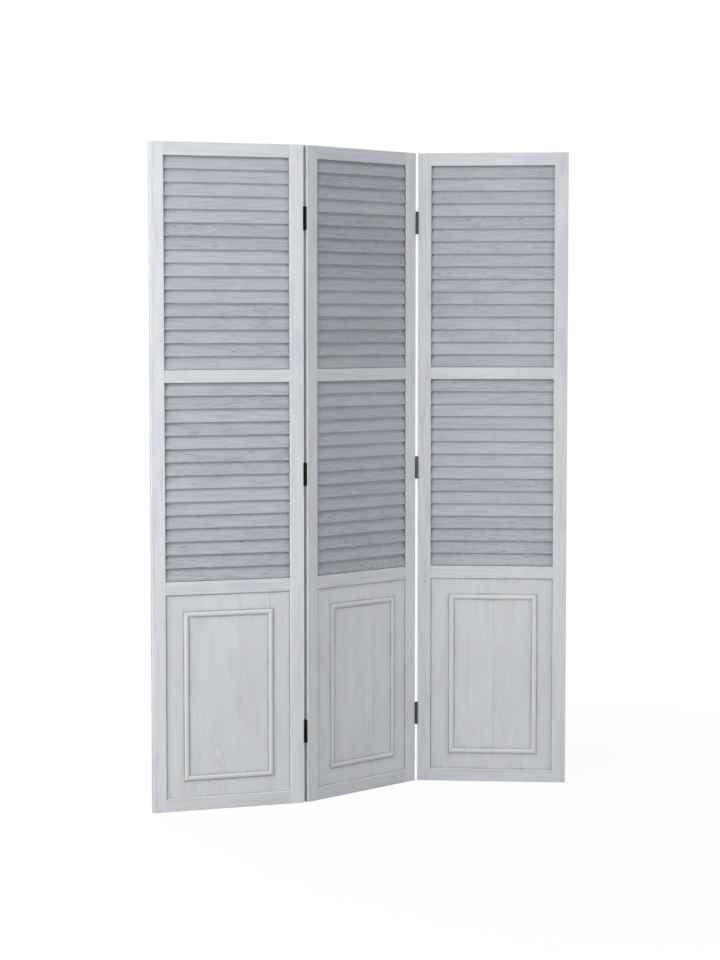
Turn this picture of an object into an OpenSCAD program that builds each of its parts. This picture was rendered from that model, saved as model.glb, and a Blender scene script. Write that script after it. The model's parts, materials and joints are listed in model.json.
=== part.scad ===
// Folding screen of three hinged leaves.
// Each leaf is a dowelled frame with two louvred windows over a solid board,
// and the board carries a mitred moulding on both faces.
// Millimetres, Z up. The screen stands bent as in use, on the floor at z = 0,
// and the origin is under the middle of its box. The front faces -Y.

/* [Leaf] */
// Width of one leaf, over its stiles
leaf_w = 402; // [360:1:460]
// Height of the screen
leaf_h = 1700; // [1560:1:1850]
// Thickness of the stiles and rails
leaf_t = 16; // [15.5:0.5:20]

/* [Frame] */
// Face width of a stile
stile_w = 36; // [32:1:46]
// Height of the top rail
top_rail_h = 34; // [30:1:60]
// Height of the rail between the two louvred windows
upper_rail_h = 32; // [30:1:60]
// Height of the rail between the louvres and the board
lower_rail_h = 34; // [33:1:60]
// Height of the bottom rail
bottom_rail_h = 34; // [33:1:80]
// Radius of the eased outer arrises
edge_ease = 1.5; // [0.5:0.1:2.5]
// Radius of the eased arrises round the windows and the board
window_ease = 2; // [0.5:0.1:3]

/* [Dowels] */
// Diameter of a dowel
dowel_d = 6; // [5:0.5:7]
// Length of a dowel, half of it in the stile
dowel_len = 30; // [20:1:36]
// Spacing of the two dowels in a joint
dowel_pitch = 12; // [11:0.5:13]
// Radial clearance of a dowel in its hole
dowel_fit = 0.05; // [0.02:0.01:0.1]
// Chamfer on a dowel's ends
dowel_chamfer = 0.8; // [0.4:0.1:1.2]

/* [Louvres] */
// Number of slats in the upper window
upper_slats = 16; // [13:1:17]
// Number of slats in the lower window
lower_slats = 15; // [12:1:17]
// Spacing of the slats
slat_pitch = 33.7; // [30:0.1:35]
// Width of a slat
slat_w = 38; // [36:0.5:41]
// Thickness of a slat
slat_t = 4.5; // [4:0.5:5.5]
// Lean of a slat from upright, its lower edge to the front
slat_lean = 15; // [13:0.5:16.5]
// Depth of a slat's housing in the stile
housing_depth = 6; // [4:0.5:10]
// Clearance round a slat in its housing
slat_fit = 0.15; // [0.05:0.05:0.3]
// Gap under the lowest slat of a window
slat_rise = 0.3; // [0.1:0.1:0.8]

/* [Board] */
// Thickness of the board
board_t = 8; // [7.5:0.1:8.6]
// Depth that the board enters the frame
tongue = 6; // [4:0.5:6.5]
// Clearance on each face of the board in its groove
board_fit = 0.1; // [0.05:0.05:0.2]
// Room for the board to swell at the bottom of the groove
board_play = 0.5; // [0.2:0.1:0.6]

/* [Moulding] */
// Width of a moulding strip
moulding_w = 14; // [10:0.5:20]
// Height of a strip over the board
moulding_t = 3.4; // [2.4:0.1:3.6]
// Distance from the stiles to a moulding in the middle of its board
side_margin = 46; // [30:1:60]
// Distance from the lower rail down to the moulding
top_margin = 43.5; // [30:0.5:60]
// Distance from the bottom rail up to the moulding
foot_margin = 42; // [30:0.5:60]
// How far right of its board's middle the left leaf's moulding is set
left_shift = 1; // [-8:0.5:8]
// How far right of its board's middle the middle leaf's moulding is set
middle_shift = 3.5; // [-8:0.5:8]
// How far right of its board's middle the right leaf's moulding is set
right_shift = 4; // [-8:0.5:8]
// Width of the flat lip along each side of a strip
lip_w = 1.4; // [0.8:0.1:2.5]
// Height of that lip
lip_h = 1; // [0.5:0.1:1.6]
// Open hairline at a mitre, measured along the strip
mitre_gap = 0.2; // [0.1:0.05:0.4]

/* [Hinges] */
// Length of a hinge
hinge_len = 60; // [50:1:76]
// Height of the end hinges' centres from the foot and from the top
hinge_inset = 186; // [120:1:240]
// Height of the middle hinge's centre over the middle of the leaf
middle_hinge_rise = 6; // [-20:1:20]
// Gap between two leaves when they stand in line
hinge_gap = 4.2; // [4:0.1:4.8]
// Distance from a leaf's face out to the pin's axis
pin_out = 2.7; // [2.5:0.1:3.2]
// Diameter of the hinge pin
pin_d = 3; // [2.5:0.1:3.4]
// Radial running clearance of the pin in its knuckles
pin_fit = 0.05; // [0.02:0.01:0.1]
// Height of the pin's flat head
pin_head_h = 0.8; // [0.5:0.1:1.5]
// Chamfer on the pin's foot
pin_chamfer = 0.5; // [0.3:0.1:0.8]
// Outer diameter of the knuckles
barrel_d = 6; // [5.4:0.1:6.2]
// Number of knuckles in a hinge
knuckles = 5; // [3:2:7]
// Gap between two knuckles
knuckle_gap = 0.3; // [0.2:0.05:0.5]
// Thickness of a hinge plate
plate_t = 1.2; // [1:0.1:1.4]
// Reach of a hinge plate from the pin's axis
plate_reach = 17.2; // [14:0.1:17.6]
// Radius of the plate's free corners
plate_corner = 1.5; // [0.5:0.1:3]
// Number of screws in a hinge plate
plate_screws = 3; // [2:1:3]
// Spacing of those screws
screw_pitch = 22; // [18:1:23]
// Length of a screw
screw_len = 14; // [10:1:18]
// Diameter of a screw's shank
screw_d = 2.8; // [2.2:0.1:3.2]
// Diameter of a screw's countersunk head
screw_head_d = 5.4; // [4.6:0.1:6]
// Width of the slot in a screw's head
slot_w = 0.8; // [0.6:0.1:1]
// Depth of that slot
slot_depth = 0.6; // [0.4:0.1:0.8]
// Radial clearance of a screw in its hole
screw_fit = 0.05; // [0.02:0.01:0.1]

/* [Stance] */
// Turn of the middle leaf from the X axis
middle_turn = 44.8; // [0:0.1:60]
// Bend between the left and the middle leaf
left_bend = 26; // [0:0.1:90]
// Bend between the middle and the right leaf
right_bend = 49.4; // [0:0.1:90]

/* [Hidden] */
$fn = 48;
// Straight pieces that draw a quarter round, and half of a slat's nose
ease_steps = 4;
nose_steps = 3;
// Steps across the crown of the moulding
crown_steps = 8;
// How far a cutter runs past the face that it cuts
past = 1;
wash = "#d3d8d9";
wash_cool = "#b4b9c4";
wash_warm = "#d9d9d6";
beech = "#d8c3a0";
dark_iron = "#3b3d37";

SIDES = ["left", "middle", "right"];
RAILS = ["top_rail", "upper_rail", "lower_rail", "bottom_rail"];
LEVELS = ["top", "middle", "bottom"];
PANEL_PARTS = concat(
    ["left_stile", "right_stile"],
    RAILS,
    ["upper_slats", "lower_slats", "board", "front_moulding", "back_moulding", "dowels"]
);
HINGE_PARTS = ["left_plate", "right_plate", "pin"];

// Heights of the windows and rails, from the top down
upper_top = leaf_h - top_rail_h;
upper_foot = upper_top - upper_slats * slat_pitch;
lower_top = upper_foot - upper_rail_h;
lower_foot = lower_top - lower_slats * slat_pitch;
board_top = lower_foot - lower_rail_h;
board_foot = bottom_rail_h;
opening_w = leaf_w - 2 * stile_w;
mid_t = leaf_t / 2;

// Foot and height of each rail, in the order of RAILS
RAIL_FOOT = [upper_top, lower_top, board_top, 0];
RAIL_H = [top_rail_h, upper_rail_h, lower_rail_h, bottom_rail_h];

// The hinges: their centres' heights, and the pin's place beside a leaf
HINGE_Z = [leaf_h - hinge_inset, leaf_h / 2 + middle_hinge_rise, hinge_inset];
edge_gap = hinge_gap / 2;
barrel_r = barrel_d / 2;
pin_r = pin_d / 2;
knuckle_len = (hinge_len - (knuckles - 1) * knuckle_gap) / knuckles;
// The plate starts where it clears the other plate's knuckles
plate_start = barrel_r + knuckle_gap;
screw_reach = (plate_start + plate_reach) / 2;
pin_head_r = (pin_r + barrel_r) / 2;

// The turn of each leaf, and the two pins on the floor in the middle leaf's own axes
LEAF_TURN = [middle_turn - left_bend, middle_turn, middle_turn - right_bend];
left_pin = [-edge_gap, leaf_t + pin_out];
right_pin = [leaf_w + edge_gap, -pin_out];

// Turn a flat point about the origin
function turned(p, a) = [p[0] * cos(a) - p[1] * sin(a), p[0] * sin(a) + p[1] * cos(a)];
// Where the front left corner of each leaf stands, before the screen is centred
left_stand = turned(left_pin, middle_turn) - turned([leaf_w + edge_gap, leaf_t + pin_out], LEAF_TURN[0]);
right_stand = turned(right_pin, middle_turn) - turned([-edge_gap, -pin_out], LEAF_TURN[2]);
STAND = [left_stand, [0, 0], right_stand];
// The centres of the eased corners of every leaf, whose box is centred on the origin
corner_xs = [edge_ease, leaf_w - edge_ease];
corner_ys = [edge_ease, leaf_t - edge_ease];
CORNERS = [
    for (i = [0:2]) for (x = corner_xs) for (y = corner_ys) STAND[i] + turned([x, y], LEAF_TURN[i])
];
function middle_of(axis) = (min([for (c = CORNERS) c[axis]]) + max([for (c = CORNERS) c[axis]])) / 2;
centre = [middle_of(0), middle_of(1)];

// Points of an arc about a centre, from one angle to another
function arc(c, r, from, to, steps) = [
    for (i = [0:steps]) let (a = from + (to - from) * i / steps) c + r * [cos(a), sin(a)]
];
// Outline of a bar with a corner radius at its low and high side along the second axis
function eased_bar(w, h, low, high) = concat(
    arc([low, low], low, 180, 270, ease_steps),
    arc([w - low, low], low, 270, 360, ease_steps),
    arc([w - high, h - high], high, 0, 90, ease_steps),
    arc([high, h - high], high, 90, 180, ease_steps)
);
// Section of a slat, upright: two flats and two round noses
function slat_section(grow) = let (r = slat_t / 2 + grow, half = (slat_w - slat_t) / 2) concat(
    arc([0, half], r, 0, 180, 2 * nose_steps),
    arc([0, -half], r, 180, 360, 2 * nose_steps)
);
// Half of a leaning slat's height, and the height of slat k's middle in the window with this top
slat_half_h = (slat_w - slat_t) / 2 * cos(slat_lean) + slat_t / 2;
function slat_z(top, k) = top - k * slat_pitch + slat_rise + slat_half_h;
// Section of the moulding: a lip, a crown and a lip
function moulding_section() = concat(
    [[0, 0], [0, lip_h]],
    [for (i = [0:crown_steps]) let (a = 180 - 180 * i / crown_steps)
        [moulding_w / 2 + (moulding_w / 2 - lip_w) * cos(a), lip_h + (moulding_t - lip_h) * sin(a)]],
    [[moulding_w, lip_h], [moulding_w, 0]]
);

// Stand a leaf's own axes where that leaf is. In them the leaf's front left foot is the origin.
module on_leaf(side) {
    i = search([side], SIDES)[0];
    translate(STAND[i] - centre) rotate(LEAF_TURN[i]) children();
}

// Extrude a section in the leaf's Y and Z along X
module along_x(x0, length) {
    translate([x0, 0, 0]) rotate([90, 0, 90]) linear_extrude(length) children();
}

// One slat, or the cutter for its housing. The top slat is ripped off under the rail.
module slat(top, k, x0, length, grow) {
    difference() {
        along_x(x0, length) translate([mid_t, slat_z(top, k)]) rotate(-slat_lean) polygon(slat_section(grow));
        if (k == 1) translate([x0 - past, 0, top + grow - slat_fit])
            cube([length + 2 * past, leaf_t, slat_w]);
    }
}

module slat_bank(top, count) {
    end_play = slat_fit;
    color(wash_cool) for (k = [1:count])
        slat(top, k, stile_w - housing_depth + end_play, opening_w + 2 * (housing_depth - end_play), 0);
}

// Cutter that rounds an upright inner arris of the left stile, at its front
module arris_cutter(foot, top) {
    c = [stile_w - window_ease, window_ease];
    outer = window_ease + past;
    translate([0, 0, foot]) linear_extrude(top - foot) polygon(concat(
        [c + [outer, -outer], c + [outer, 0]],
        arc(c, window_ease, 0, -90, ease_steps),
        [c + [0, -outer]]
    ));
}

// Dowel holes at the height of one rail, from x0 over the given length
module dowel_holes(rail, x0, length) {
    for (s = [-1, 1])
        translate([x0, mid_t, RAIL_FOOT[rail] + RAIL_H[rail] / 2 + s * dowel_pitch / 2]) rotate([0, 90, 0])
            cylinder(d = dowel_d + 2 * dowel_fit, h = length);
}

// The two hinge pins of a leaf stand before its front or behind its back
function pin_y(pin_side) = pin_side == "front" ? -pin_out : leaf_t + pin_out;
function inward(pin_side) = pin_side == "front" ? 1 : -1;
function screw_z(n) = (n - (plate_screws - 1) / 2) * screw_pitch;

// The left stile. pin_side says where its hinges have their pins, and "none" that it has no hinge.
module stile(pin_side) {
    dowel_depth = dowel_len / 2 + dowel_fit;
    pilot_depth = screw_len - plate_t + screw_fit;
    difference() {
        intersection() {
            linear_extrude(leaf_h) polygon(concat(
                arc([edge_ease, edge_ease], edge_ease, 180, 270, ease_steps),
                [[stile_w, 0], [stile_w, leaf_t]],
                arc([edge_ease, leaf_t - edge_ease], edge_ease, 90, 180, ease_steps)
            ));
            along_x(-past, stile_w + 2 * past) polygon(eased_bar(leaf_t, leaf_h, edge_ease, edge_ease));
        }
        for (w = [[upper_foot, upper_top], [lower_foot, lower_top], [board_foot, board_top]]) {
            arris_cutter(w[0], w[1]);
            translate([0, leaf_t, 0]) mirror([0, 1, 0]) arris_cutter(w[0], w[1]);
        }
        for (k = [1:upper_slats]) slat(upper_top, k, stile_w - housing_depth, housing_depth + past, slat_fit);
        for (k = [1:lower_slats]) slat(lower_top, k, stile_w - housing_depth, housing_depth + past, slat_fit);
        groove_w = board_t + 2 * board_fit;
        groove_d = tongue + board_play;
        translate([stile_w - groove_d, mid_t - groove_w / 2, board_foot - groove_d])
            cube([groove_d + past, groove_w, board_top - board_foot + 2 * groove_d]);
        for (r = [0:3]) dowel_holes(r, stile_w - dowel_depth, dowel_depth + past);
        if (pin_side != "none") for (z = HINGE_Z) for (n = [0:plate_screws - 1])
            translate([-past, pin_y(pin_side) + inward(pin_side) * screw_reach, z + screw_z(n)])
                rotate([0, 90, 0]) cylinder(d = screw_d + 2 * screw_fit, h = pilot_depth + past);
    }
}

module left_stile(pin_side) {
    color(wash) stile(pin_side);
}

module right_stile(pin_side) {
    color(wash) translate([leaf_w, 0, 0]) mirror([1, 0, 0]) stile(pin_side);
}

// A rail, with the board's groove in one of its edges where the board meets it
module rail(r) {
    dowel_depth = dowel_len / 2 + dowel_fit;
    groove_w = board_t + 2 * board_fit;
    groove_d = tongue + board_play;
    low = r == 3 ? edge_ease : window_ease;
    high = r == 0 ? edge_ease : window_ease;
    color(wash) difference() {
        translate([0, 0, RAIL_FOOT[r]]) along_x(stile_w, opening_w)
            polygon(eased_bar(leaf_t, RAIL_H[r], low, high));
        dowel_holes(r, stile_w - past, dowel_depth + past);
        dowel_holes(r, leaf_w - stile_w - dowel_depth, dowel_depth + past);
        if (r == 2) translate([stile_w - past, mid_t - groove_w / 2, board_top - past])
            cube([opening_w + 2 * past, groove_w, groove_d + past]);
        if (r == 3) translate([stile_w - past, mid_t - groove_w / 2, board_foot - groove_d])
            cube([opening_w + 2 * past, groove_w, groove_d + past]);
    }
}

module board() {
    color(wash) translate([stile_w - tongue, mid_t - board_t / 2, board_foot - tongue])
        cube([opening_w + 2 * tongue, board_t, board_top - board_foot + 2 * tongue]);
}

// One strip of moulding along X, mitred at both ends, with its outer edge on the X axis
module moulding_strip(length) {
    intersection() {
        along_x(0, length) polygon(moulding_section());
        linear_extrude(moulding_t + past) polygon([
            [mitre_gap / 2, 0],
            [length - mitre_gap / 2, 0],
            [length - mitre_gap / 2 - moulding_w, moulding_w],
            [mitre_gap / 2 + moulding_w, moulding_w]
        ]);
    }
}

// The four strips, lying in the XY plane
module moulding_frame() {
    w = opening_w - 2 * side_margin;
    h = board_top - board_foot - top_margin - foot_margin;
    moulding_strip(w);
    translate([w, 0, 0]) rotate(90) moulding_strip(h);
    translate([w, h, 0]) rotate(180) moulding_strip(w);
    translate([0, h, 0]) rotate(270) moulding_strip(h);
}

// How far a leaf's mouldings are set to the right, as they were planted by eye
function moulding_shift(side) = side == "left" ? left_shift : side == "middle" ? middle_shift : right_shift;

module front_moulding(side) {
    x = stile_w + side_margin + moulding_shift(side);
    color(wash_warm) translate([x, mid_t - board_t / 2, board_foot + foot_margin])
        rotate([90, 0, 0]) moulding_frame();
}

module back_moulding(side) {
    color(wash_warm) translate([0, leaf_t, 0]) mirror([0, 1, 0]) front_moulding(side);
}

// A dowel along X with chamfered ends
module dowel() {
    r = dowel_d / 2;
    rotate([0, 90, 0]) rotate_extrude() polygon([
        [0, 0], [r - dowel_chamfer, 0], [r, dowel_chamfer],
        [r, dowel_len - dowel_chamfer], [r - dowel_chamfer, dowel_len], [0, dowel_len]
    ]);
}

module dowels() {
    color(beech) for (r = [0:3]) for (x = [stile_w, leaf_w - stile_w]) for (s = [-1, 1])
        translate([x - dowel_len / 2, mid_t, RAIL_FOOT[r] + RAIL_H[r] / 2 + s * dowel_pitch / 2]) dowel();
}

// Hinge axes: the pin is on the Z axis, and this plate's leaf is at +X and reaches along +Y.
// An even plate has the first, third and last knuckles, and an odd one those between them.
module hinge_plate(first) {
    own = [for (i = [first:2:knuckles - 1]) i];
    foot = -hinge_len / 2;
    color(dark_iron) difference() {
        union() {
            along_x(edge_gap - plate_t, plate_t) polygon(concat(
                [[plate_start, foot]],
                arc([plate_reach - plate_corner, foot + plate_corner], plate_corner, 270, 360, ease_steps),
                arc([plate_reach - plate_corner, -foot - plate_corner], plate_corner, 0, 90, ease_steps),
                [[plate_start, -foot]]
            ));
            for (i = own) translate([0, 0, foot + i * (knuckle_len + knuckle_gap)]) {
                cylinder(r = barrel_r, h = knuckle_len);
                translate([edge_gap - plate_t, 0, 0]) cube([plate_t, plate_start + past, knuckle_len]);
            }
        }
        translate([0, 0, foot - past]) cylinder(r = pin_r + pin_fit, h = hinge_len + 2 * past);
        for (n = [0:plate_screws - 1]) translate([edge_gap - plate_t, screw_reach, screw_z(n)])
            rotate([0, 90, 0])
                cylinder(d1 = screw_head_d + 2 * screw_fit, d2 = screw_d + 2 * screw_fit, h = plate_t);
    }
}

// The pin, with a flat head over the top knuckle and a chamfered foot
module hinge_pin() {
    top = hinge_len / 2;
    color(dark_iron) rotate_extrude() polygon([
        [0, -top - pin_chamfer], [pin_r - pin_chamfer, -top - pin_chamfer], [pin_r, -top],
        [pin_r, top], [pin_head_r, top], [pin_head_r, top + pin_head_h], [0, top + pin_head_h]
    ]);
}

// The screws of one plate: a slotted countersunk head, a shank and a point
module plate_screw_set() {
    point = screw_d;
    for (n = [0:plate_screws - 1]) translate([edge_gap - plate_t, screw_reach, screw_z(n)]) difference() {
        rotate([0, 90, 0]) rotate_extrude() polygon([
            [0, 0], [screw_head_d / 2, 0], [screw_d / 2, plate_t],
            [screw_d / 2, screw_len - point], [0, screw_len]
        ]);
        translate([-past, -slot_w / 2, -screw_head_d / 2 - past])
            cube([past + slot_depth, slot_w, screw_head_d + 2 * past]);
    }
}

// Stand the hinge axes at a leaf's left or right edge, pin_side as for the stile
module at_edge(edge, pin_side, z) {
    translate([edge == "left" ? -edge_gap : leaf_w + edge_gap, pin_y(pin_side), z])
        mirror([edge == "left" ? 0 : 1, 0, 0]) mirror([0, pin_side == "front" ? 0 : 1, 0]) children();
}

// A joint's two leaves, and the side on which its pins stand
function joint_leaf(joint, plate) = joint == "left" ? (plate == "left" ? "left" : "middle")
    : (plate == "left" ? "middle" : "right");
function joint_pin_side(joint) = joint == "left" ? "back" : "front";
// A joint's left plate is on the right edge of its left leaf
function plate_edge(plate) = plate == "left" ? "right" : "left";
// The middle leaf's plates have the outer knuckles
function first_knuckle(joint, plate) = joint_leaf(joint, plate) == "middle" ? 0 : 1;

module joint_plate(joint, plate, z) {
    on_leaf(joint_leaf(joint, plate)) at_edge(plate_edge(plate), joint_pin_side(joint), z)
        hinge_plate(first_knuckle(joint, plate));
}

module joint_pin(joint, z) {
    on_leaf("middle") at_edge(joint == "left" ? "left" : "right", joint_pin_side(joint), z) hinge_pin();
}

module joint_screws(joint, plate) {
    color(dark_iron) on_leaf(joint_leaf(joint, plate)) for (z = HINGE_Z)
        at_edge(plate_edge(plate), joint_pin_side(joint), z) plate_screw_set();
}

// Where the pins of a leaf's left and right edge stand
function left_edge_pins(side) = side == "left" ? "none" : side == "middle" ? "back" : "front";
function right_edge_pins(side) = side == "left" ? "back" : side == "middle" ? "front" : "none";

for (s = SIDES) {
    p = str(s, "_panel_");
    on_leaf(s) left_stile(left_edge_pins(s));
    on_leaf(s) right_stile(right_edge_pins(s));
    for (r = [0:3])
        on_leaf(s) rail(r);
    on_leaf(s) slat_bank(upper_top, upper_slats);
    on_leaf(s) slat_bank(lower_top, lower_slats);
    on_leaf(s) board();
    on_leaf(s) front_moulding(s);
    on_leaf(s) back_moulding(s);
    on_leaf(s) dowels();
}
for (j = ["left", "right"]) {
    for (l = [0:2]) {
        h = str(j, "_joint_", LEVELS[l], "_hinge_");
        joint_plate(j, "left", HINGE_Z[l]);
        joint_plate(j, "right", HINGE_Z[l]);
        joint_pin(j, HINGE_Z[l]);
    }
    joint_screws(j, "left");
    joint_screws(j, "right");
}
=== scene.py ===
"""Looks of the three-leaf folding screen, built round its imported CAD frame.

Each leaf is a dowelled frame of whitewashed paulownia with two louvred windows over a solid
board, and a mitred moulding is planted on both faces of the board. Dark iron butt hinges
join the leaves. All lengths are in metres unless a name ends in _mm.
"""

import json
import logging
import math
from collections.abc import Callable
from dataclasses import dataclass
from enum import Enum
from functools import partial
from typing import Any, ClassVar

import bmesh
import bpy
import numpy as np
from mathutils import Matrix, Vector


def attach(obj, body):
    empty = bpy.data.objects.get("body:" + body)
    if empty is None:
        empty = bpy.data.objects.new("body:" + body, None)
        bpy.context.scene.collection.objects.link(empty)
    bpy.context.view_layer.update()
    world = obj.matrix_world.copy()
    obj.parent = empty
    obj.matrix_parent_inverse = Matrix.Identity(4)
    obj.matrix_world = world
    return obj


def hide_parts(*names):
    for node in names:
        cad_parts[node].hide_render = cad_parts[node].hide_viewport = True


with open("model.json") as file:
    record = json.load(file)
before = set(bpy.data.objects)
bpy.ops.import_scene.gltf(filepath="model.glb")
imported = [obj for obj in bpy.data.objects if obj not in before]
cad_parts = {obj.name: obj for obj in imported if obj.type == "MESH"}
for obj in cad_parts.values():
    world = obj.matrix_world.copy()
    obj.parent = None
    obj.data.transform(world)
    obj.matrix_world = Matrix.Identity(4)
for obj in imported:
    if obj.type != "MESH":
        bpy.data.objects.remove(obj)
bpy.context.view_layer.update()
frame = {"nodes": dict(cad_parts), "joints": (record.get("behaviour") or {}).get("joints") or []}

LOG = logging.getLogger("folding_screen")
MM = 0.001

# The call that adds a node to one tree, and the share of a coat with its colour
Add = Callable[..., Any]
Coat = tuple[Any, str]

# Attributes that the timber's materials read: where a point lay in its log, how white its plank
# is, its place from the piece's middle, and its distances from what lies close by
GRAIN = "grain"
TONE = "tone"
PLACE = "place"
NEAR = "near"
# Carries a slat's place in its log to its points, and is then removed
SHIFT = "shift"

# Settings that store a vector on the points, and types of the geometry trees' inputs
ON_POINTS = {"data_type": "FLOAT_VECTOR", "domain": "POINT"}
NUMBER = "NodeSocketFloat"
WHOLE = "NodeSocketInt"
VECTOR = "NodeSocketVector"


class Side(Enum):
    """The three leaves, seen from the front."""

    LEFT = "left"
    MIDDLE = "middle"
    RIGHT = "right"


class Window(Enum):
    """The two louvred windows of a leaf."""

    UPPER = "upper"
    LOWER = "lower"


class Face(Enum):
    """The two faces of a leaf."""

    FRONT = "front"
    BACK = "back"


class Run(Enum):
    """Which way the grain runs in a piece of timber, in the leaf's own axes."""

    LEVEL = "level"
    UPRIGHT = "upright"


# Helpers


def linear(hex_colour: str) -> tuple[float, float, float, float]:
    """Turn an sRGB hex colour into linear light.

    Args:
        hex_colour: colour such as "#d8dcdd".

    Returns:
        Red, green, blue and an alpha of one.
    """
    parts = [int(hex_colour[i : i + 2], 16) / 255 for i in (1, 3, 5)]
    red, green, blue = (c / 12.92 if c <= 0.04045 else ((c + 0.055) / 1.055) ** 2.4 for c in parts)
    return red, green, blue, 1.0


WHITE = linear("#ffffff")
BLACK = linear("#000000")


def in_use(sockets: Any, name: str | None = None) -> Any:
    """Return the first socket in use, or the first one in use with this name."""
    return next(socket for socket in sockets if socket.enabled and name in (None, socket.name))


def node(tree: Any, kind: str, sockets: dict[Any, Any] | None = None, **settings: Any) -> Any:
    """Add a node with its settings, values and links.

    Args:
        tree: shader or geometry node tree.
        kind: the node's type name.
        sockets: input name or number, with its value or the socket or node that feeds it.
        settings: properties set on the node itself.

    Returns:
        The new node.
    """
    new = tree.nodes.new(kind)
    for name, value in settings.items():
        setattr(new, name, value)
    for key, value in (sockets or {}).items():
        entry = new.inputs[key] if isinstance(key, int) else in_use(new.inputs, key)
        source = in_use(value.outputs) if isinstance(value, bpy.types.Node) else value
        if isinstance(source, bpy.types.NodeSocket):
            tree.links.new(source, entry)
        else:
            entry.default_value = source
    return new


def empty_material(name: str) -> tuple[bpy.types.Material, Add]:
    """Make an empty material.

    Args:
        name: the material's name.

    Returns:
        The material and the call that adds a node to it.
    """
    material = bpy.data.materials.new(name)
    material.use_nodes = True
    material.node_tree.nodes.clear()
    return material, partial(node, material.node_tree)


def object_mm(add: Add) -> Any:
    """Return the object coordinates in mm."""
    place = add("ShaderNodeTexCoord").outputs["Object"]
    return add("ShaderNodeVectorMath", {0: place, "Scale": 1 / MM}, operation="SCALE")


def add_object(name: str, mesh: bpy.types.Mesh) -> bpy.types.Object:
    """Link a new object at the origin.

    Args:
        name: the piece's name.
        mesh: its mesh, already in place.

    Returns:
        The new object.
    """
    piece = bpy.data.objects.new(name, mesh)
    bpy.context.scene.collection.objects.link(piece)
    return piece


def evaluated_mesh(piece: bpy.types.Object) -> bpy.types.Mesh:
    """Return the piece's mesh as its modifiers leave it, with every attribute."""
    depsgraph = bpy.context.evaluated_depsgraph_get()
    return bpy.data.meshes.new_from_object(
        piece.evaluated_get(depsgraph), preserve_all_data_layers=True, depsgraph=depsgraph
    )


def smooth_rounds(piece: bpy.types.Object, sharp_above: float) -> None:
    """Shade the eased edges smooth and keep the flats flat.

    Args:
        piece: object with a plain mesh.
        sharp_above: edges that turn by more than this stay sharp, in radians.
    """
    mesh = piece.data
    mesh.shade_smooth()
    mesh.set_sharp_from_angle(angle=sharp_above)
    normals = piece.modifiers.new("Face-weighted normals", "WEIGHTED_NORMAL")
    normals.mode = "FACE_AREA"
    normals.keep_sharp = True
    shaded = evaluated_mesh(piece)
    shaded.name = mesh.name
    piece.modifiers.remove(normals)
    piece.data = shaded


def hand_over(piece: bpy.types.Object, body: str, slot: str, *cad_nodes: str) -> None:
    """Attach a piece to what it rides on, and hide the CAD nodes that it stands for.

    Args:
        piece: the finished piece.
        body: the CAD body that it moves with.
        slot: the slot of its finish; not used.
        cad_nodes: the CAD nodes that it takes the place of.
    """
    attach(piece, body)
    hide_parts(*cad_nodes)


# Sizes


@dataclass(frozen=True)
class LeafSizes:
    """Sizes of one leaf, as the part's source gives them."""

    width: float = 402 * MM
    thickness: float = 16 * MM
    opening_width: float = 330 * MM
    board_opening_height: float = 521.3 * MM
    slat_pitch: float = 33.7 * MM
    slat_rise: float = 0.3 * MM
    slat_width: float = 38 * MM
    slat_thickness: float = 4.5 * MM
    slat_lean: float = math.radians(15)
    top_clearance: float = 0.15 * MM
    moulding_width: float = 238 * MM
    moulding_height: float = 435.8 * MM
    strip_width: float = 14 * MM
    strip_height: float = 3.4 * MM
    lip_width: float = 1.4 * MM
    lip_height: float = 1 * MM
    mitre_gap: float = 0.2 * MM
    pin_gap: float = 2.1 * MM
    pin_out: float = 2.7 * MM

    def slat_middle(self, top: float) -> float:
        """Height of the top slat's middle in the window with this top."""
        half = (self.slat_width - self.slat_thickness) / 2 * math.cos(self.slat_lean)
        return top + self.slat_rise - self.slat_pitch + half + self.slat_thickness / 2


SIZES = LeafSizes()


# Finishes


@dataclass(frozen=True)
class Lumps:
    """Soft lumps of a real size, mostly drawn out along the grain."""

    # Size of a lump along, across and through the grain
    size_mm: tuple[float, float, float]
    # The noise values at which a lump starts and is full
    start: float = 0.5
    full: float = 0.7
    # Octaves of finer noise
    detail: float = 2.0

    def drawn(self, add: Add, grain: Any, low: float = 0.0, high: float = 1.0) -> Any:
        """Draw the lumps.

        Args:
            add: adds a node to the shader tree.
            grain: grain coordinates in mm.
            low: value between the lumps.
            high: value inside them.

        Returns:
            Node with the value.
        """
        scale = tuple(1 / size for size in self.size_mm)
        place = add("ShaderNodeVectorMath", {0: grain, 1: scale}, operation="MULTIPLY")
        noise = add("ShaderNodeTexNoise", {"Vector": place, "Scale": 1.0, "Detail": self.detail})
        span = {"From Min": self.start, "From Max": self.full, "To Min": low, "To Max": high}
        return add("ShaderNodeMapRange", {"Value": noise, **span}, interpolation_type="SMOOTHSTEP")


@dataclass(frozen=True)
class Film:
    """Lumps of another colour in the wash."""

    colour: str
    depth: float
    lumps: Lumps


@dataclass(frozen=True)
class Trace:
    """A coat that is full close to some place and fades out with the distance from it."""

    colour: str
    depth: float
    # How far away it has faded out, and up to where it is full
    reach_mm: float
    full_mm: float = 0.0
    # The lumps that it breaks up into, and its share between them
    lumps: Lumps | None = None
    least: float = 0.0

    def coat(self, add: Add, grain: Any, away: Any) -> Coat:
        """Lay the trace.

        Args:
            add: adds a node to the shader tree.
            grain: grain coordinates in mm.
            away: how far each point is from the place, in mm.

        Returns:
            The coat.
        """
        span = {"From Min": self.reach_mm, "From Max": self.full_mm, "To Max": self.depth}
        share = add("ShaderNodeMapRange", {"Value": away, **span}, interpolation_type="SMOOTHSTEP")
        if self.lumps:
            broken = self.lumps.drawn(add, grain, low=self.least)
            share = add("ShaderNodeMath", {0: share, 1: broken}, operation="MULTIPLY")
        return share, self.colour


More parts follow.
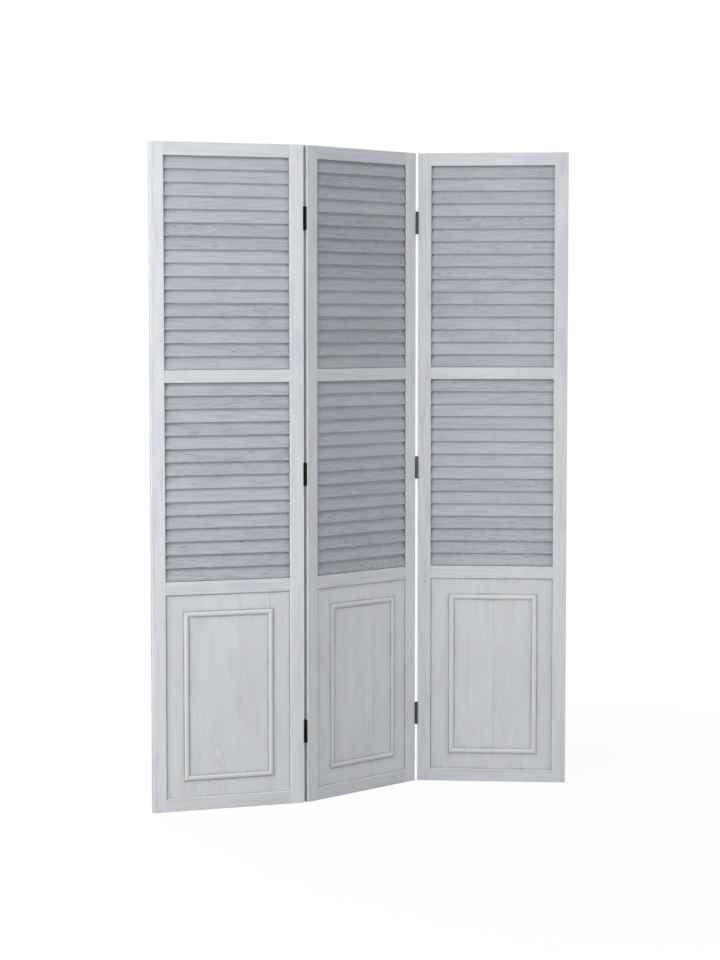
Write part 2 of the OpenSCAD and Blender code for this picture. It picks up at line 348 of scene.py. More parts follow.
@dataclass(frozen=True)
class GrowthRings:
    """Rings of a log, cut by a plank's face as straight lines or as arches."""

    colour: str
    depth: float
    spacing_mm: float
    # Drift of the pith beside the plank, in mm for each mm along it, which makes the arches
    pith_drift: float = 0.03
    # How far the rings wander, as a share of their spacing
    wander: float = 1.2
    wander_lumps: Lumps = Lumps((150.0, 22.0, 22.0), 0.0, 1.0)
    # Where the open early wood ends in a ring, and where the next ring starts to show
    early_end: float = 0.42
    late_end: float = 0.86
    # How far out from the pith the rings show clearly, and where the wash hides them
    clear_to_mm: float = 1000.0
    hidden_from_mm: float = 2000.0

    def early_wood(self, add: Add, grain: Any) -> Any:
        """Find the open early wood.

        Args:
            add: adds a node to the shader tree.
            grain: grain coordinates in mm.

        Returns:
            Node with 1 at a ring's start, and 0 in its late wood and where the wash hides the rings.
        """
        along, across, through = add("ShaderNodeSeparateXYZ", {0: grain}).outputs
        depth = add("ShaderNodeMath", {0: along, 1: self.pith_drift, 2: through}, operation="MULTIPLY_ADD")
        out = add("ShaderNodeCombineXYZ", {0: across, 1: depth})
        radius = add("ShaderNodeVectorMath", {0: out}, operation="LENGTH")
        drift = self.wander_lumps.drawn(add, grain, high=self.wander)
        rings = add(
            "ShaderNodeMath", {0: radius, 1: 1 / self.spacing_mm, 2: drift}, operation="MULTIPLY_ADD"
        )
        phase = add("ShaderNodeMath", {0: rings}, operation="FRACT")
        ramp = add("ShaderNodeValToRGB", {0: phase})
        ramp.color_ramp.interpolation = "EASE"
        start, end = ramp.color_ramp.elements
        start.color = WHITE
        end.position = self.early_end
        end.color = BLACK
        ramp.color_ramp.elements.new(self.late_end).color = BLACK
        ramp.color_ramp.elements.new(1.0).color = WHITE
        span = {"From Min": self.hidden_from_mm, "From Max": self.clear_to_mm}
        shown = add("ShaderNodeMapRange", {"Value": radius, **span}, interpolation_type="SMOOTHSTEP")
        return add("ShaderNodeMath", {0: ramp, 1: shown}, operation="MULTIPLY")


@dataclass(frozen=True)
class WashedWood:
    """Paulownia, planed, brushed and given a thin white-grey wash, then left matt.

    The wash lies whiter on the dense late wood and lets the open pores and the early wood
    show as grey streaks, so the eye reads pale timber with a cool, dry, chalky surface. Painted
    shade darkens it in corners, at ends and on edges, besides marks of its own such as a glue line.
    """

    name: str
    slot: str
    wash: str
    rings: GrowthRings
    pores: Film
    films: tuple[Film, ...]
    # Darkening near the places that each kind of timber measures from: painted shade in
    # corners, at ends and on edges, and marks of its own such as the glue line and smears
    traces: tuple[Trace, ...]
    # How far the wash differs from plank to plank, and from fibre to fibre
    tone_span: float
    fibre_depth: float
    fibres: Lumps = Lumps((90.0, 2.4, 2.4), 0.2, 0.8)
    # The fibres swerve this far on their way
    swerve_mm: float = 5.0
    swerve_lumps: Lumps = Lumps((70.0, 16.0, 16.0), 0.0, 1.0, 1.0)
    # The pores open in bands too, and outside them and the early wood show only a share
    bands: Lumps = Lumps((230.0, 6.0, 6.0), 0.45, 0.62)
    closed_share: float = 0.2
    # How open the pores are on the greyest plank and on the whitest one
    openness: tuple[float, float] = (1.3, 0.45)
    # A brushed pore lies about 0.1 mm deep
    pore_drop_mm: float = 0.1
    bump_strength: float = 0.6
    roughness: float = 0.62
    roughness_span: float = 0.07
    rough_patches: Lumps = Lumps((120.0, 20.0, 20.0), 0.35, 0.7, 3.0)
    # A chalky wash shines less than bare wood
    specular: float = 0.3
    ior: float = 1.48

    def _distances(self, add: Add) -> list[Any]:
        """Measure how far each point is from the places of the traces.

        Args:
            add: adds a node to the shader tree.

        Returns:
            A distance in mm for each trace.
        """
        raise NotImplementedError

    def material(self) -> bpy.types.Material:
        """Build the washed timber.

        Returns:
            The material, which reads the timber's attributes.
        """
        material, add = empty_material(self.name)
        grain = add("ShaderNodeAttribute", attribute_name=GRAIN).outputs["Vector"]
        tone = add("ShaderNodeAttribute", attribute_name=TONE).outputs["Fac"]
        swerve = self.swerve_lumps.drawn(add, grain, high=self.swerve_mm)
        sideways = add("ShaderNodeCombineXYZ", {1: swerve})
        swerved = add("ShaderNodeVectorMath", {0: grain, 1: sideways}, operation="ADD")

        # The pores open widest in the early wood and in bands, and some planks are far more open
        early = self.rings.early_wood(add, grain)
        bands = self.bands.drawn(add, swerved)
        widest = add("ShaderNodeMath", {0: early, 1: bands}, operation="MAXIMUM")
        greyest, whitest = self.openness
        opened = add("ShaderNodeMapRange", {"Value": widest, "To Min": self.closed_share})
        plank = add("ShaderNodeMapRange", {"Value": tone, "To Min": greyest, "To Max": whitest})
        openness = add("ShaderNodeMath", {0: opened, 1: plank}, operation="MULTIPLY")
        pores = self.pores.lumps.drawn(add, swerved, high=self.pores.depth)
        lines = add("ShaderNodeMath", {0: pores, 1: openness}, operation="MULTIPLY")

        ringed = add("ShaderNodeMath", {0: early, 1: self.rings.depth}, operation="MULTIPLY")
        coats = [(ringed, self.rings.colour)]
        for film in self.films:
            coats.append((film.lumps.drawn(add, swerved, high=film.depth), film.colour))
        coats.append((lines, self.pores.colour))
        # Painted shade in corners, at ends and on edges, and the glue line and smears
        for trace, away in zip(self.traces, self._distances(add), strict=True):
            coats.append(trace.coat(add, grain, away))
        base = linear(self.wash)
        for share, colour in coats:
            base = add("ShaderNodeMix", {"Factor": share, "A": base, "B": linear(colour)}, data_type="RGBA")

        # No two planks take the wash alike, and each is a little uneven from fibre to fibre
        whiteness = {"To Min": 1 - self.tone_span, "To Max": 1 + self.tone_span}
        level = add("ShaderNodeMapRange", {"Value": tone, **whiteness})
        brushed = self.fibres.drawn(add, swerved, -self.fibre_depth / 2, self.fibre_depth / 2)
        level = add("ShaderNodeMath", {0: level, 1: brushed}, operation="ADD")
        base = add("ShaderNodeVectorMath", {0: base, "Scale": level}, operation="SCALE")

        bump = add(
            "ShaderNodeBump",
            {"Height": pores, "Distance": self.pore_drop_mm * MM, "Strength": self.bump_strength},
            invert=True,
        )
        smooth, rough = self.roughness - self.roughness_span, self.roughness + self.roughness_span
        timber = add(
            "ShaderNodeBsdfPrincipled",
            {
                "Base Color": base,
                "Roughness": self.rough_patches.drawn(add, grain, smooth, rough),
                "Normal": bump,
                "IOR": self.ior,
                "Specular IOR Level": self.specular,
            },
        )
        add("ShaderNodeOutputMaterial", {0: timber})
        return material


@dataclass(frozen=True)
class WashedFrameWood(WashedWood):
    """The washed timber of the stiles and rails, greyer on their edges than on their faces.

    The wash is wiped thin round the arrises, and painted shade darkens the side faces in the
    joints' gaps and the reveals beside the board, so olive grey shows on the edges.
    """

    def _distances(self, add: Add) -> list[Any]:
        """Measure from the middle of the thickness.

        Args:
            add: adds a node to the shader tree.

        Returns:
            The distance in mm, which is the same all over a face and less on the edges.
        """
        place = add("ShaderNodeAttribute", attribute_name=PLACE).outputs["Vector"]
        through = add("ShaderNodeSeparateXYZ", {0: place}).outputs[2]
        return [add("ShaderNodeMath", {0: through}, operation="ABSOLUTE")]


@dataclass(frozen=True)
class WashedSlatWood(WashedWood):
    """The washed timber of the slats, darker towards their ends.

    Painted shade darkens the ends beside the stiles, the top slat under its rail and the lowest
    one at the sill.
    """

    def _distances(self, add: Add) -> list[Any]:
        """Return the distances from the ends, down from the top and up from the sill, in mm."""
        near = add("ShaderNodeAttribute", attribute_name=NEAR).outputs["Vector"]
        return list(add("ShaderNodeSeparateXYZ", {0: near}).outputs)


@dataclass(frozen=True)
class WashedBoardWood(WashedWood):
    """The washed timber of a wide glued board, upright in its frame.

    A thin dark line of painted shade lies in the corner beside the moulding and the frame,
    in a softer and wider painted shade. Short upright darker smears lie in the strip next to
    it. The glue line between the planks shows here and there.
    """

    # From the moulding's middle to its outer edge, and from the board's middle to the frame
    moulding_half_mm: tuple[float, float, float] = (
        SIZES.moulding_width / 2 / MM, SIZES.moulding_height / 2 / MM, 0.0
    )
    opening_half_mm: tuple[float, float, float] = (
        SIZES.opening_width / 2 / MM, SIZES.board_opening_height / 2 / MM, 0.0
    )
    strip_half_mm: float = SIZES.strip_width / 2 / MM

    def _distances(self, add: Add) -> list[Any]:
        """Measure from the moulding, the frame and the glue line.

        Args:
            add: adds a node to the shader tree.

        Returns:
            Distance in mm from the nearest corner, for the smears, the painted shade and the painted
            line in it, and distance from the glue line.
        """
        near = add("ShaderNodeAttribute", attribute_name=NEAR).outputs["Vector"]
        place = add("ShaderNodeAttribute", attribute_name=PLACE).outputs["Vector"]
        from_middle = add("ShaderNodeVectorMath", {0: near}, operation="ABSOLUTE")
        halves = {0: from_middle, 1: self.moulding_half_mm}
        outwards = add("ShaderNodeVectorMath", halves, operation="SUBTRACT")
        across, up, from_seam = add("ShaderNodeSeparateXYZ", {0: outwards}).outputs
        outside = add("ShaderNodeMath", {0: across, 1: up}, operation="MAXIMUM")
        # The strip lies inside the moulding's outer edge, and has a corner on both its sides
        from_line = add("ShaderNodeMath", {0: outside, 1: self.strip_half_mm}, operation="ADD")
        from_line = add("ShaderNodeMath", {0: from_line}, operation="ABSOLUTE")
        from_strip = add("ShaderNodeMath", {0: from_line, 1: self.strip_half_mm}, operation="SUBTRACT")
        away = add("ShaderNodeVectorMath", {0: place}, operation="ABSOLUTE")
        room = add("ShaderNodeVectorMath", {0: self.opening_half_mm, 1: away}, operation="SUBTRACT")
        beside, over, _ = add("ShaderNodeSeparateXYZ", {0: room}).outputs
        from_frame = add("ShaderNodeMath", {0: beside, 1: over}, operation="MINIMUM")
        nearest = add("ShaderNodeMath", {0: from_strip, 1: from_frame}, operation="MINIMUM")
        return [nearest, nearest, nearest, from_seam]


@dataclass(frozen=True)
class WashedMouldingWood(WashedWood):
    """The washed timber of the moulding, darker on its lips than on its crown.

    Painted shade lies on the lips and at the crown's foot, so a dark line follows each side.
    """

    def _distances(self, add: Add) -> list[Any]:
        """Return the height over the board in mm."""
        near = add("ShaderNodeAttribute", attribute_name=NEAR).outputs["Vector"]
        return [add("ShaderNodeSeparateXYZ", {0: near}).outputs[2]]


@dataclass(frozen=True)
class LacqueredIron:
    """Pressed and rolled mild steel, browned and dipped in a thin dark lacquer.

    It reads as near-black with an olive cast, smooth enough for a soft sheen along the
    knuckles, with a slight orange peel.
    """

    name: str
    slot: str
    colour: str
    worn: str
    roughness: float = 0.42
    roughness_span: float = 0.1
    # Lumps of the orange peel, drawn at their real size
    peel_mm: float = 0.8
    peel_detail: float = 1.0
    peel_drop_mm: float = 0.03
    peel_strength: float = 0.5
    patches: Lumps = Lumps((9.0, 9.0, 9.0), 0.45, 0.75, 4.0)
    ior: float = 1.5

    def material(self) -> bpy.types.Material:
        """Build the lacquered iron, on object coordinates.

        Returns:
            The material.
        """
        material, add = empty_material(self.name)
        in_mm = object_mm(add)
        size = {"Scale": 1 / self.peel_mm, "Detail": self.peel_detail}
        peel = add("ShaderNodeTexNoise", {"Vector": in_mm, **size})
        rubbed = self.patches.drawn(add, in_mm)
        shades = {"A": linear(self.colour), "B": linear(self.worn)}
        colour = add("ShaderNodeMix", {"Factor": rubbed, **shades}, data_type="RGBA")
        smooth, rough = self.roughness - self.roughness_span, self.roughness + self.roughness_span
        relief = {"Distance": self.peel_drop_mm * MM, "Strength": self.peel_strength}
        bump = add("ShaderNodeBump", {"Height": peel, **relief})
        iron = add(
            "ShaderNodeBsdfPrincipled",
            {
                "Base Color": colour,
                "Roughness": self.patches.drawn(add, in_mm, smooth, rough),
                "Normal": bump,
                "IOR": self.ior,
            },
        )
        add("ShaderNodeOutputMaterial", {0: iron})
        return material


@dataclass(frozen=True)
class TurnedBeech:
    """Bare beech dowel rod, turned and fluted by machine.

    Its fine pink-brown flecks show only where a joint opens.
    """

    name: str
    slot: str
    light: str
    dark: str
    # Ray flecks are 2 mm long and 0.4 mm wide
    flecks: Lumps = Lumps((0.4, 0.4, 2.0), 0.5, 0.7)
    fleck_drop_mm: float = 0.05
    fleck_strength: float = 0.4
    roughness: float = 0.6
    ior: float = 1.5

    def material(self) -> bpy.types.Material:
        """Build the bare beech, on object coordinates.

        Returns:
            The material.
        """
        material, add = empty_material(self.name)
        flecks = self.flecks.drawn(add, object_mm(add))
        shades = {"A": linear(self.light), "B": linear(self.dark)}
        colour = add("ShaderNodeMix", {"Factor": flecks, **shades}, data_type="RGBA")
        relief = {"Distance": self.fleck_drop_mm * MM, "Strength": self.fleck_strength}
        bump = add("ShaderNodeBump", {"Height": flecks, **relief})
        surface = {"Base Color": colour, "Normal": bump, "Roughness": self.roughness, "IOR": self.ior}
        beech = add("ShaderNodeBsdfPrincipled", surface)
        add("ShaderNodeOutputMaterial", {0: beech})
        return material


# The pinkish rings of a wide flat-sawn board show through its wash near the pith only, as arches
BOARD_RINGS = GrowthRings(
    "#ccc3c6", depth=0.42, spacing_mm=7.0, pith_drift=0.15, wander=0.9, clear_to_mm=22.0, hidden_from_mm=40.0
)

# The painted dark line in a board's corners and the painted shade round it waver together
CORNER_SHADE_WAVER = Lumps((90.0, 60.0, 60.0), 0.35, 0.65)

# A real pore line is 0.3 mm wide, drawn wide enough here to show at 2.4 mm a pixel
FRAME_WOOD = WashedFrameWood(
    name="washed paulownia frame",
    slot="washed_frame",
    wash="#dee1e5",
    rings=GrowthRings("#cfd2d7", depth=0.2, spacing_mm=5.0),
    pores=Film("#b3b7bd", depth=0.22, lumps=Lumps((24.0, 1.7, 1.7), 0.54, 0.66)),
    films=(
        Film("#cccfde", depth=0.42, lumps=Lumps((150.0, 50.0, 50.0), 0.5, 0.68)),
        Film("#dbd8d3", depth=0.35, lumps=Lumps((110.0, 38.0, 38.0), 0.52, 0.7)),
        Film("#c5c9cf", depth=0.42, lumps=Lumps((170.0, 9.0, 9.0), 0.48, 0.7, 3.0)),
    ),
    # Wash wiped thin on the arrises, and painted shade on the side faces and reveals. The face
    # lies 8 mm from the middle of the thickness
    traces=(
        Trace(
            "#85867c",
            depth=0.6,
            reach_mm=6.8,
            full_mm=2.5,
            lumps=Lumps((60.0, 12.0, 12.0), 0.35, 0.6),
            least=0.7,
        ),
    ),
    tone_span=0.05,
    fibre_depth=0.06,
    fibres=Lumps((150.0, 5.0, 5.0), 0.2, 0.8),
)
SLAT_WOOD = WashedSlatWood(
    name="washed paulownia slats",
    slot="washed_slats",
    wash="#babdc5",
    rings=GrowthRings("#acafb8", depth=0.4, spacing_mm=4.0),
    pores=Film("#7c7f88", depth=0.46, lumps=Lumps((20.0, 1.7, 1.7), 0.52, 0.68)),
    films=(
        Film("#b0b3c4", depth=0.36, lumps=Lumps((150.0, 50.0, 50.0), 0.5, 0.68)),
        Film("#beb5b7", depth=0.28, lumps=Lumps((110.0, 30.0, 30.0), 0.56, 0.72)),
        Film("#a9acb5", depth=0.4, lumps=Lumps((120.0, 12.0, 12.0), 0.42, 0.7, 3.0)),
    ),
    # Painted shade at the ends, under the rail and at the sill
    traces=(
        Trace("#74777e", depth=0.275, reach_mm=13.0),
        Trace("#74777e", depth=0.3, reach_mm=14.0),
        Trace("#74777e", depth=0.5, reach_mm=7.0),
    ),
    tone_span=0.06,
    fibre_depth=0.14,
    fibres=Lumps((70.0, 3.6, 3.6), 0.25, 0.75),
    openness=(1.6, 0.3),
)
BOARD_WOOD = WashedBoardWood(
    name="washed paulownia board",
    slot="washed_board",
    wash="#dcdfe3",
    rings=BOARD_RINGS,
    pores=Film("#b2b5bb", depth=0.14, lumps=Lumps((30.0, 2.2, 2.2), 0.56, 0.7)),
    films=(
        Film("#cdd0de", depth=0.28, lumps=Lumps((190.0, 80.0, 80.0), 0.48, 0.66)),
        Film("#dcd6d4", depth=0.35, lumps=Lumps((150.0, 50.0, 50.0), 0.54, 0.7)),
        Film("#c9cdd3", depth=0.3, lumps=Lumps((110.0, 30.0, 30.0), 0.5, 0.68, 3.0)),
        Film("#cdd0d5", depth=0.25, lumps=Lumps((300.0, 13.0, 13.0), 0.48, 0.7)),
    ),
    # The smears, the painted shade and the painted dark line in the corners, and the glue line
    traces=(
        Trace("#9396a3", depth=0.33, reach_mm=13.0, lumps=Lumps((60.0, 9.0, 9.0), 0.54, 0.72, 3.0)),
        Trace("#6c6c68", depth=0.1, reach_mm=14.0, lumps=CORNER_SHADE_WAVER, least=0.5),
        Trace("#6c6c68", depth=0.68, reach_mm=3.2, lumps=CORNER_SHADE_WAVER, least=0.45),
        Trace("#85857b", depth=0.4, reach_mm=2.0, lumps=Lumps((170.0, 400.0, 400.0), 0.48, 0.6, 0.0)),
    ),
    tone_span=0.05,
    fibre_depth=0.02,
    fibres=Lumps((200.0, 4.0, 4.0), 0.2, 0.8),
)
MOULDING_WOOD = WashedMouldingWood(
    name="washed paulownia moulding",
    slot="washed_moulding",
    wash="#dddfe0",
    rings=GrowthRings("#d1d2d3", depth=0.25, spacing_mm=4.0),
    pores=Film("#babbbb", depth=0.2, lumps=Lumps((24.0, 1.7, 1.7), 0.54, 0.66)),
    films=(
        Film("#d1d4dc", depth=0.4, lumps=Lumps((120.0, 30.0, 30.0), 0.5, 0.68)),
        Film("#dad8d3", depth=0.35, lumps=Lumps((90.0, 30.0, 30.0), 0.5, 0.68)),
    ),
    # Painted shade on the lips and at the crown's foot, by the height over the board
    traces=(
        Trace(
            "#85857f",
            depth=0.5,
            reach_mm=2.2,
            full_mm=0.8,
            lumps=Lumps((60.0, 20.0, 20.0), 0.35, 0.65),
            least=0.4,
        ),
    ),
    tone_span=0.02,
    fibre_depth=0.05,
    fibres=Lumps((150.0, 4.0, 4.0), 0.2, 0.8),
)
HINGE_IRON = LacqueredIron("browned hinge iron", "hinge_iron", colour="#33332d", worn="#505147")
SCREW_IRON = LacqueredIron(
    "browned screw iron", "screw_iron", colour="#30302a", worn="#4d4d44", roughness=0.38
)
DOWEL_BEECH = TurnedBeech("turned beech dowel", "beech_dowel", light="#d9c19c", dark="#c2a47c")


# Places


@dataclass(frozen=True)
class LeafPlace:
    """Where a leaf stands: its turn about the vertical and its front left foot."""

    turn: float
    stand: Vector

    @property
    def matrix(self) -> Matrix:
        """Matrix from the leaf's own axes to the frame's."""
        return Matrix.Translation(self.stand) @ Matrix.Rotation(self.turn, 4, "Z")


def leaf_places(sizes: LeafSizes) -> dict[Side, LeafPlace]:
    """Work out where the leaves stand from the two joints of the frame.

    Args:
        sizes: the leaf's sizes.

    Returns:
        The place of each leaf.
    """
    # The bends between the leaves at rest
    left_bend = math.radians(26)
    right_bend = math.radians(49.4)
    pins = {joint["name"]: Vector(joint["pos_m"][:2]) for joint in frame["joints"]}
    back_pin = sizes.thickness + sizes.pin_out
    low = Vector((-sizes.pin_gap, back_pin))
    high = Vector((sizes.width + sizes.pin_gap, -sizes.pin_out))
    span = pins["right_fold"] - pins["left_fold"]
    middle_turn = math.atan2(span.y, span.x) - math.atan2((high - low).y, (high - low).x)

    def stood(turn: float, pin: Vector, own: Vector) -> LeafPlace:
        """Place a leaf by its turn and by the pin that it shares, given in both axes."""
        foot = pin - Matrix.Rotation(turn, 2) @ own
        return LeafPlace(turn, Vector((foot.x, foot.y, 0.0)))

    far_back = Vector((sizes.width + sizes.pin_gap, back_pin))
    near_front = Vector((-sizes.pin_gap, -sizes.pin_out))
    return {
        Side.LEFT: stood(middle_turn - left_bend, pins["left_fold"], far_back),
        Side.MIDDLE: stood(middle_turn, pins["left_fold"], low),
        Side.RIGHT: stood(middle_turn - right_bend, pins["right_fold"], near_front),
    }


# Geometry Nodes trees


class GeometryTree:
    """Base of the two Geometry Nodes trees: named inputs, and a run that ends in a plain mesh."""

    def __init__(self, name: str, inputs: dict[str, str]) -> None:
        """Open the tree and its named inputs.

        Args:
            name: the tree's name.
            inputs: name and socket type of its own inputs, besides those that both trees have.
        """
        self.tree = bpy.data.node_groups.new(name, "GeometryNodeTree")
        self.tree.interface.new_socket("Geometry", in_out="OUTPUT", socket_type="NodeSocketGeometry")
        shared = {"Seed": WHOLE, "Turn": NUMBER, "Stand": VECTOR, "Material": "NodeSocketMaterial"}
        self.identifiers = {
            label: self.tree.interface.new_socket(label, in_out="INPUT", socket_type=kind).identifier
            for label, kind in (inputs | shared).items()
        }
        self.add = partial(node, self.tree)
        self.given = self.add("NodeGroupInput").outputs

    def coordinates(self) -> Any:
        """Return the X, Y and Z of each point."""
        return self.add("ShaderNodeSeparateXYZ", {0: self.add("GeometryNodeInputPosition")}).outputs

    def in_mm(self, x: Any, y: Any, z: Any) -> Any:
        """Return a vector of three lengths in mm."""
        lengths = self.add("ShaderNodeCombineXYZ", {0: x, 1: y, 2: z})
        return self.add("ShaderNodeVectorMath", {0: lengths, "Scale": 1 / MM}, operation="SCALE")

    def close(self, geometry: Any) -> None:
        """Turn the leaf's axes to its place, realize, set the material and end the tree.

        Args:
            geometry: node with the finished geometry in the leaf's own axes.
        """
        turn = self.add("ShaderNodeCombineXYZ", {"Z": self.given["Turn"]})
        stand = {"Translation": self.given["Stand"], "Rotation": turn}
        placed = self.add("GeometryNodeTransform", {"Geometry": geometry, **stand})
        real = self.add("GeometryNodeRealizeInstances", {"Geometry": placed})
        material = {"Material": self.given["Material"]}
        dressed = self.add("GeometryNodeSetMaterial", {"Geometry": real, **material})
        self.add("NodeGroupOutput", {0: dressed})

    def build(self, name: str, values: dict[str, Any]) -> bpy.types.Object:
        """Run the tree once with the given values and keep the result as a plain mesh.

        Args:
            name: the piece's name.
            values: value of each named input.

        Returns:
            The finished piece, with no modifier left on it.
        """
        piece = add_object(name, bpy.data.meshes.new(name))
        modifier = piece.modifiers.new(self.tree.name, "NODES")
        modifier.node_group = self.tree
        for label, value in values.items():
            modifier[self.identifiers[label]] = value
        mesh = evaluated_mesh(piece)
        piece.modifiers.remove(modifier)
        empty = piece.data
        piece.data = mesh
        bpy.data.meshes.remove(empty)
        mesh.name = name
        return piece


class LouvreTree(GeometryTree):
    """Slats with round noses, set one over the other at a lean."""

    # Straight pieces of a nose's quarter, and cross-sections along a slat, one in its middle
    NOSE_STEPS = 3
    LENGTH_STEPS = 9
    # A slat's nose is a hair less than a full half round, so that its section stays open
    NOSE_SHARE = 0.499
    # Where in the log the slats were cut: along it, across its face and out from the pith
    LOG_NEAR_MM = (0.0, -75.0, 8.0)
    LOG_FAR_MM = (2400.0, 75.0, 60.0)
    # Size of a lazy wave along, across and through the grain
    BOW_WAVE_MM = (150.0, 400.0, 20.0)
    # Inputs that take a number
    NUMBERS = (
        "Pitch", "First height", "Middle depth", "Left end", "Length", "Board width", "Thickness",
        "Lean", "Cut height", "Sill height", "Window middle", "Window half", "Bow",
    )

    def __init__(self) -> None:
        """Build the tree from the slat's section to the finished bank."""
        super().__init__("louvre bank", {"Count": WHOLE, **dict.fromkeys(self.NUMBERS, NUMBER)})
        bank = self._cut_top(self._bowed(self._bank(self._slat())))
        self.close(self._measured(bank))

    def _slat(self) -> Any:
        """One upright slat about its own middle, with its grain coordinates.

        Returns:
            Node with the mesh.
        """
        width, thickness = self.given["Board width"], self.given["Thickness"]
        section = self.add("GeometryNodeCurvePrimitiveQuadrilateral", {"Width": thickness, "Height": width})
        nose = self.add("ShaderNodeMath", {0: thickness, 1: self.NOSE_SHARE}, operation="MULTIPLY")
        fillet = {"Curve": section, "Count": self.NOSE_STEPS, "Radius": nose}
        rounded = self.add("GeometryNodeFilletCurve", fillet, mode="POLY")
        end = self.add("ShaderNodeCombineXYZ", {"X": self.given["Length"]})
        line = self.add("GeometryNodeCurvePrimitiveLine", {"End": end})
        steps = self.add("GeometryNodeResampleCurve", {"Curve": line, "Count": self.LENGTH_STEPS})
        sweep = {"Curve": steps, "Profile Curve": rounded, "Fill Caps": True}
        slat = self.add("GeometryNodeCurveToMesh", sweep)
        # Grain coordinates run along, across and through the slat
        along, through, across = self.coordinates()
        grain = {"Geometry": slat, "Name": GRAIN, "Value": self.in_mm(along, across, through)}
        return self.add("GeometryNodeStoreNamedAttribute", grain, **ON_POINTS)

    def _bank(self, slat: Any) -> Any:
        """Set the slats over each other, each cut from its own place in the log.

        Args:
            slat: node with one slat.

        Returns:
            Node with the realized bank.
        """
        first = self.add(
            "ShaderNodeCombineXYZ",
            {"X": self.given["Left end"], "Y": self.given["Middle depth"], "Z": self.given["First height"]},
        )
        drop = self.add("ShaderNodeMath", {0: self.given["Pitch"], 1: -1.0}, operation="MULTIPLY")
        down = self.add("ShaderNodeCombineXYZ", {"Z": drop})
        ladder = {"Count": self.given["Count"], "Start Location": first, "Offset": down}
        rungs = self.add("GeometryNodeMeshLine", ladder)
        back = self.add("ShaderNodeMath", {0: self.given["Lean"], 1: -1.0}, operation="MULTIPLY")
        lean = self.add("ShaderNodeCombineXYZ", {"X": back})
        bank = self.add("GeometryNodeInstanceOnPoints", {"Points": rungs, "Instance": slat, "Rotation": lean})
        tone = self.add("FunctionNodeRandomValue", {"Seed": self.given["Seed"]}, data_type="FLOAT")
        spot = self.add(
            "FunctionNodeRandomValue",
            {"Min": self.LOG_NEAR_MM, "Max": self.LOG_FAR_MM, "Seed": self.given["Seed"]},
            data_type="FLOAT_VECTOR",
        )
        for name, value, kind in ((TONE, tone, "FLOAT"), (SHIFT, spot, "FLOAT_VECTOR")):
            bank = self.add(
                "GeometryNodeStoreNamedAttribute",
                {"Geometry": bank, "Name": name, "Value": value},
                data_type=kind,
                domain="INSTANCE",
            )
        real = self.add("GeometryNodeRealizeInstances", {"Geometry": bank})
        own, shift = (
            self.add("GeometryNodeInputNamedAttribute", {"Name": name}, data_type="FLOAT_VECTOR")
            for name in (GRAIN, SHIFT)
        )
        total = self.add("ShaderNodeVectorMath", {0: own, 1: shift}, operation="ADD")
        grain = {"Geometry": real, "Name": GRAIN, "Value": total}
        stored = self.add("GeometryNodeStoreNamedAttribute", grain, **ON_POINTS)
        return self.add("GeometryNodeRemoveAttribute", {"Geometry": stored, "Name": SHIFT})

    def _bowed(self, bank: Any) -> Any:
        """Let the thin slats bow by a fraction of a millimetre, as dry ones do.

        Args:
            bank: node with the realized bank.

        Returns:
            Node with the bowed bank.
        """
        grain = self.add("GeometryNodeInputNamedAttribute", {"Name": GRAIN}, data_type="FLOAT_VECTOR")
        scale = tuple(1 / size for size in self.BOW_WAVE_MM)
        slow = self.add("ShaderNodeVectorMath", {0: grain, 1: scale}, operation="MULTIPLY")
        wave = self.add("ShaderNodeTexNoise", {"Vector": slow, "Scale": 1.0, "Detail": 0.0})
        centred = self.add("ShaderNodeMath", {0: wave, 1: 0.5}, operation="SUBTRACT")
        bow = self.add("ShaderNodeMath", {0: centred, 1: self.given["Bow"]}, operation="MULTIPLY")
        offset = self.add("ShaderNodeCombineXYZ", {"Y": bow})
        return self.add("GeometryNodeSetPosition", {"Geometry": bank, "Offset": offset})

    def _cut_top(self, bank: Any) -> Any:
        """Rip the top slat off flat under its rail.

        Args:
            bank: node with the bank.

        Returns:
            Node with every point under the cut, slid down along the lean.
        """
        height = self.coordinates()[2]
        over = self.add("ShaderNodeMath", {0: self.given["Cut height"], 1: height}, operation="SUBTRACT")
        down = self.add("ShaderNodeMath", {0: over, 1: 0.0}, operation="MINIMUM")
        slope = self.add("ShaderNodeMath", {0: self.given["Lean"]}, operation="TANGENT")
        forward = self.add("ShaderNodeMath", {0: down, 1: slope}, operation="MULTIPLY")
        offset = self.add("ShaderNodeCombineXYZ", {"Y": forward, "Z": down})
        return self.add("GeometryNodeSetPosition", {"Geometry": bank, "Offset": offset})

    def _measured(self, bank: Any) -> Any:
        """Store how far each point is from the window's ends, its top and its sill, in mm, for the
        painted shade there.

        Args:
            bank: node with the bank.

        Returns:
            Node with the bank and its distances.
        """
        along, _, height = self.coordinates()
        aside = self.add("ShaderNodeMath", {0: along, 1: self.given["Window middle"]}, operation="SUBTRACT")
        away = self.add("ShaderNodeMath", {0: aside}, operation="ABSOLUTE")
        end = self.add("ShaderNodeMath", {0: self.given["Window half"], 1: away}, operation="SUBTRACT")
        under = self.add("ShaderNodeMath", {0: self.given["Cut height"], 1: height}, operation="SUBTRACT")
        over = self.add("ShaderNodeMath", {0: height, 1: self.given["Sill height"]}, operation="SUBTRACT")
        near = {"Geometry": bank, "Name": NEAR, "Value": self.in_mm(end, under, over)}
        return self.add("GeometryNodeStoreNamedAttribute", near, **ON_POINTS)


